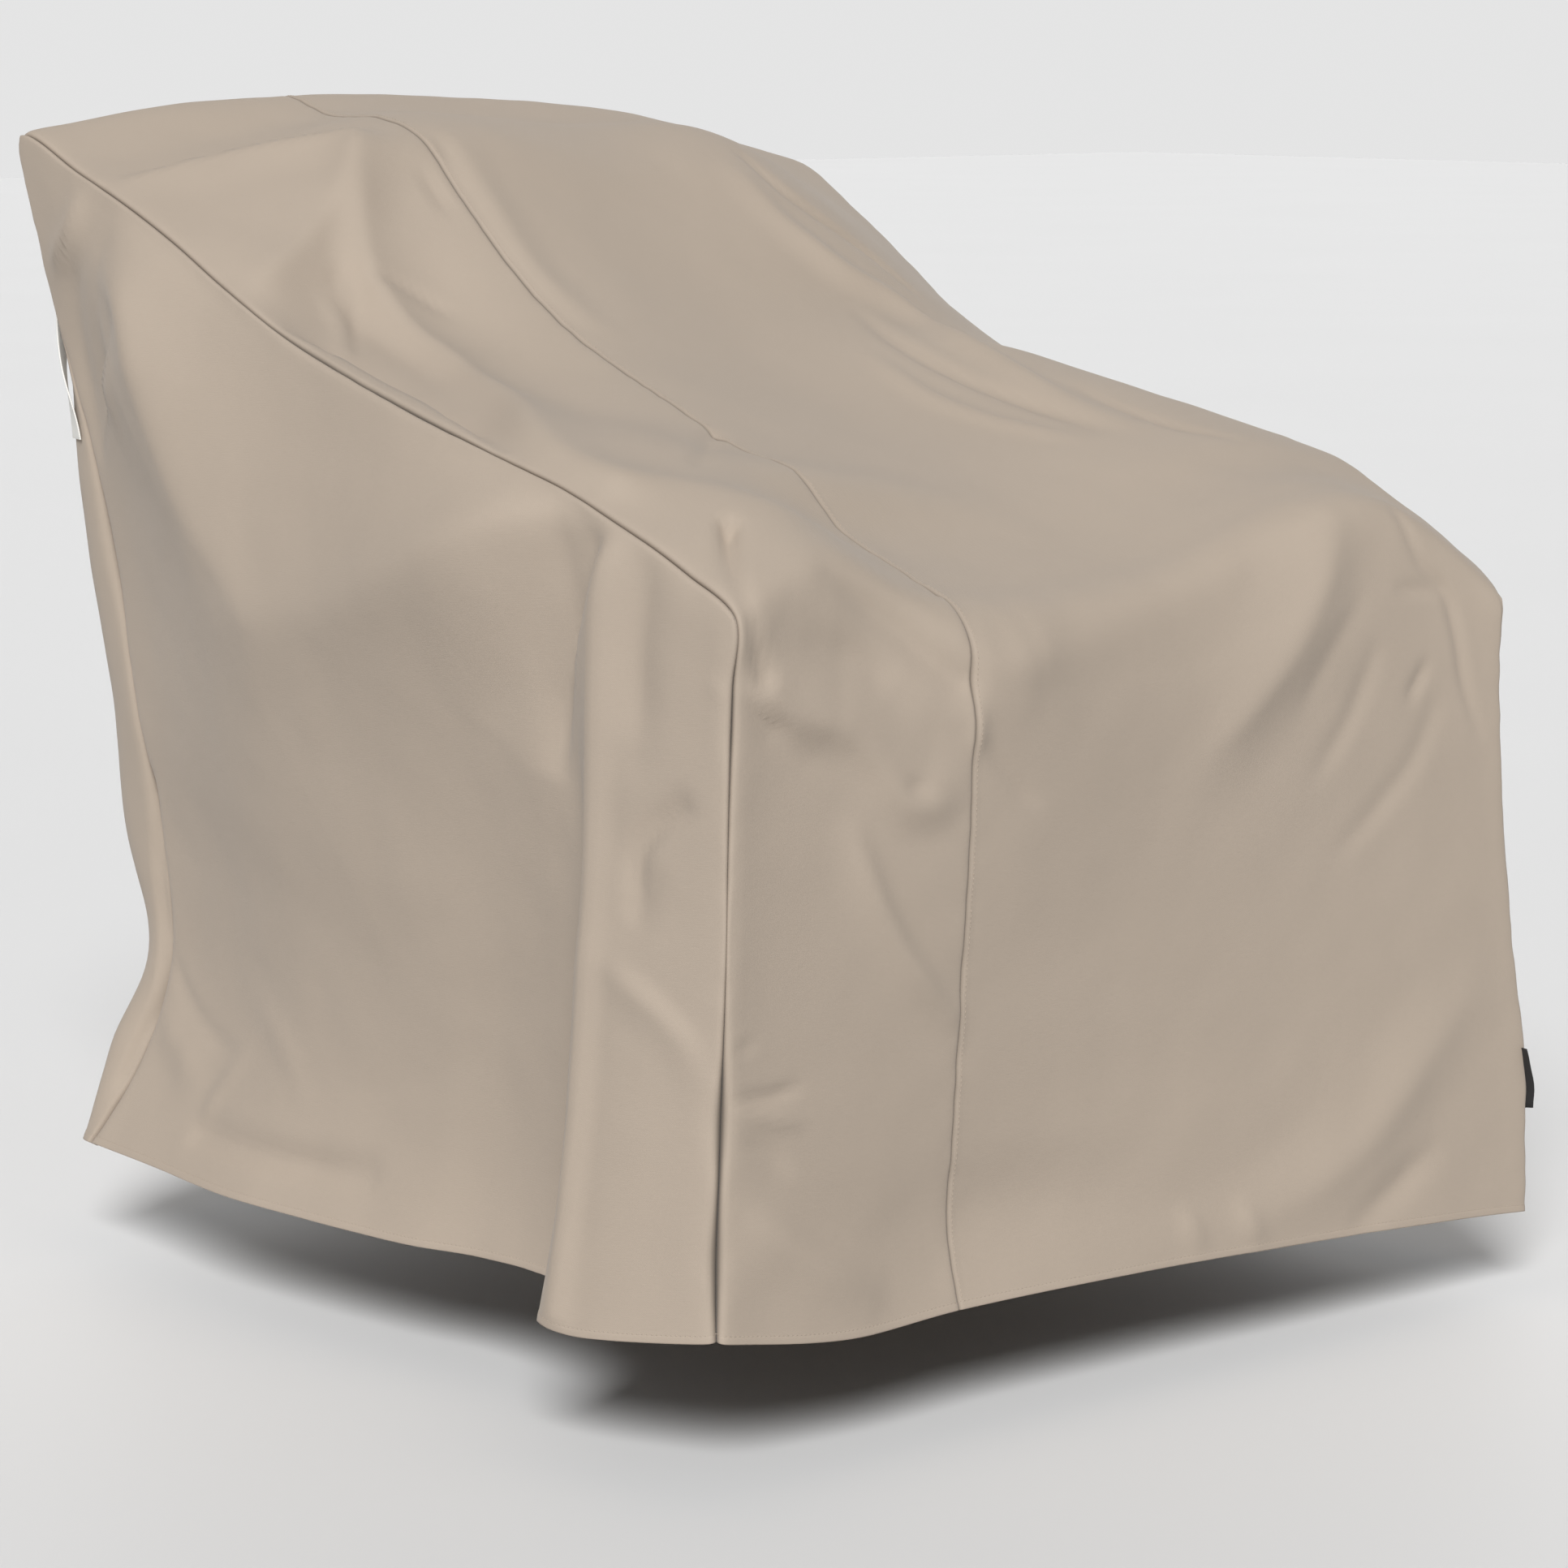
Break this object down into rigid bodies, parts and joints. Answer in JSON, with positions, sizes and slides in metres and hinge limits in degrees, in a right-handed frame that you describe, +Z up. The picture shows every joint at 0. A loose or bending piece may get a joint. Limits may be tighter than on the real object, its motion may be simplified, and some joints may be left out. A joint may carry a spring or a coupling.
{
  "type": "lounge chair cover",
  "caption": "Fitted fabric cover for a lounge chair, draped in its worn shape: open below, low at the front, rising over the arms to a high back.",
  "frame": {"origin": "middle of the bottom of the whole cover's box, so that the lowest point of the hem is at z = 0", "axes": "+Z up, front of the cover towards -Y, high back towards +Y, narrow strip and its side panel towards -X"},
  "size_m": [1.0358, 1.0688, 1.0372],
  "materials": {
    "cover_cloth": "beige coated polyester in a fine plain weave, soft and matt",
    "grey_webbing": "light grey woven webbing",
    "black_tape": "black woven tape, left blank"
  },
  "bodies": {
    "root": {"narrow_strip": "cover_cloth", "main_panel": "cover_cloth", "near_side_panel": "cover_cloth", "far_side_panel": "cover_cloth", "pull_handle": "grey_webbing", "side_tag": "black_tape"}
  },
  "joints": []
}
